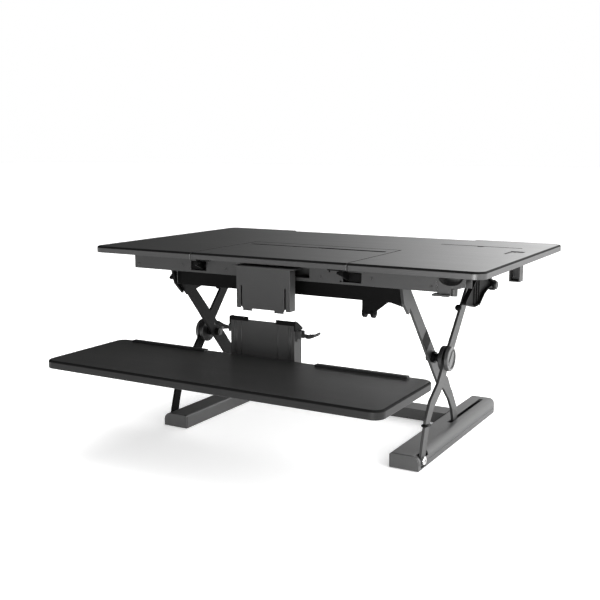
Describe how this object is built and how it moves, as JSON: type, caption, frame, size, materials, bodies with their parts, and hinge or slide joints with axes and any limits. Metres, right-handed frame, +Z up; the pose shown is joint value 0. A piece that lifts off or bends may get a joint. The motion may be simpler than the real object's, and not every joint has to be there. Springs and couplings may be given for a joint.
{
  "type": "standing desk converter",
  "caption": "Scissor-lift standing desk converter in black: a wide desktop with a tilting middle panel, gas struts, release handles, and a keyboard tray lowered ready to clip into its hanger.",
  "frame": {"origin": "On the table surface, under the middle of the whole object: halfway between the tray's front edge and the desktop's rear edge.", "axes": "+X to the user's right, +Y away from the user, +Z up. Desktop raised to the top of its travel, keyboard tray lowered 72 mm out of its hanger."},
  "size_m": [0.95, 0.844, 0.434],
  "materials": {
    "laminate": "black satin laminate on board",
    "powder_coat": "fine black powder coat",
    "black_plastic": "matte moulded plastic",
    "hub_plastic": "semi-gloss moulded plastic",
    "rubber": "matte",
    "nylon": "matte nylon",
    "zinc": "bright zinc plate",
    "screw_black": "black oxide",
    "strut_black": "gloss black paint",
    "strut_chrome": "polished rod"
  },
  "bodies": {
    "base": {"left_foot": "powder_coat", "right_foot": "powder_coat", "left_foot_caps": "black_plastic", "right_foot_caps": "black_plastic", "foot_pads": "rubber", "base_crossbar": "powder_coat", "left_lower_pivot_bolt": "zinc", "right_lower_pivot_bolt": "zinc"},
    "outer_legs": {"left_outer_leg": "powder_coat", "right_outer_leg": "powder_coat", "left_hub_pin": "zinc", "right_hub_pin": "zinc", "hub_sleeves": "black_plastic", "left_hub_inner_disc": "black_plastic", "right_hub_inner_disc": "black_plastic", "left_hub_cap": "hub_plastic", "right_hub_cap": "hub_plastic"},
    "inner_legs": {"left_inner_leg": "powder_coat", "right_inner_leg": "powder_coat", "inner_leg_crossbar": "powder_coat", "leg_gussets": "powder_coat", "damper_bracket": "powder_coat"},
    "lower_glide_left": {"left_lower_glide": "nylon"},
    "lower_glide_right": {"right_lower_glide": "nylon"},
    "upper_slider": {"upper_axle": "powder_coat", "left_upper_glide": "nylon", "right_upper_glide": "nylon", "left_strut_rod": "strut_chrome", "right_strut_rod": "strut_chrome"},
    "desk": {"main_desktop": "laminate", "inset_cover": "laminate", "front_apron": "powder_coat", "apron_end_bracket": "powder_coat", "strut_beam": "powder_coat", "cable_brackets": "powder_coat", "panel_hinge_bases": "powder_coat", "panel_rest_strips": "powder_coat", "tray_hanger": "powder_coat", "underside_screws": "screw_black", "left_slide_rail": "powder_coat", "right_slide_rail": "powder_coat", "left_top_pivot_bracket": "powder_coat", "right_top_pivot_bracket": "powder_coat", "left_handle_bracket": "powder_coat", "right_handle_bracket": "powder_coat", "left_strut_cylinder": "strut_black", "right_strut_cylinder": "strut_black"},
    "tilting_panel": {"tilting_panel": "laminate", "panel_hinge_leaves": "powder_coat"},
    "handle_left": {"left_release_handle": "black_plastic"},
    "handle_right": {"right_release_handle": "black_plastic"},
    "tray": {"keyboard_tray": "laminate", "tray_dock": "powder_coat", "dock_guides": "black_plastic", "latch_housings": "powder_coat", "tray_stop_strips": "black_plastic", "tray_dock_screws": "screw_black"},
    "latch_left": {"left_tray_latch": "black_plastic"},
    "latch_right": {"right_tray_latch": "black_plastic"}
  },
  "joints": [
    {"name": "lift", "type": "hinge", "parent": "base", "child": "outer_legs", "pos_m": [0, -0.07, 0.0175], "axis": [-1, 0, 0], "range_deg": [0, 29]},
    {"name": "scissor", "type": "hinge", "parent": "outer_legs", "child": "inner_legs", "pos_m": [0, 0.065, 0.2075], "axis": [1, 0, 0], "range_deg": [0, 58]},
    {"name": "desk_level", "type": "hinge", "parent": "inner_legs", "child": "desk", "pos_m": [0, -0.1055, 0.4], "axis": [-1, 0, 0], "range_deg": [0, 29]},
    {"name": "upper_slide", "type": "hinge", "parent": "outer_legs", "child": "upper_slider", "pos_m": [0, 0.2355, 0.4], "axis": [1, 0, 0], "range_deg": [0, 29]},
    {"name": "lower_slide_left", "type": "hinge", "parent": "inner_legs", "child": "lower_glide_left", "pos_m": [-0.29, 0.2, 0.0175], "axis": [-1, 0, 0], "range_deg": [0, 29]},
    {"name": "lower_slide_right", "type": "hinge", "parent": "inner_legs", "child": "lower_glide_right", "pos_m": [0.29, 0.2, 0.0175], "axis": [-1, 0, 0], "range_deg": [0, 29]},
    {"name": "panel_tilt", "type": "hinge", "parent": "desk", "child": "tilting_panel", "pos_m": [0, -0.161, 0.412], "axis": [1, 0, 0], "range_deg": [0, 30]},
    {"name": "handle_left_pull", "type": "hinge", "parent": "desk", "child": "handle_left", "pos_m": [-0.379, 0.19, 0.358], "axis": [-1, 0, 0], "range_deg": [0, 7], "stiffness_Nm_per_rad": 1.2, "springref_deg": -20.05},
    {"name": "handle_right_pull", "type": "hinge", "parent": "desk", "child": "handle_right", "pos_m": [0.379, 0.19, 0.358], "axis": [-1, 0, 0], "range_deg": [0, 7], "stiffness_Nm_per_rad": 1.2, "springref_deg": -20.05},
    {"name": "tray_dock_slide", "type": "slide", "parent": "desk", "child": "tray", "axis": [0, 0, 1], "range_m": [0, 0.072]},
    {"name": "latch_left_open", "type": "hinge", "parent": "tray", "child": "latch_left", "pos_m": [-0.086, -0.162, 0.277], "axis": [0, 1, 0], "range_deg": [0, 60]},
    {"name": "latch_right_open", "type": "hinge", "parent": "tray", "child": "latch_right", "pos_m": [0.086, -0.162, 0.277], "axis": [0, -1, 0], "range_deg": [0, 60]}
  ],
  "couplings": [
    {"joint": "scissor", "follows": "lift", "ratio": 2},
    {"joint": "desk_level", "follows": "lift", "ratio": 1},
    {"joint": "upper_slide", "follows": "lift", "ratio": 1},
    {"joint": "lower_slide_left", "follows": "lift", "ratio": 1},
    {"joint": "lower_slide_right", "follows": "lift", "ratio": 1}
  ]
}
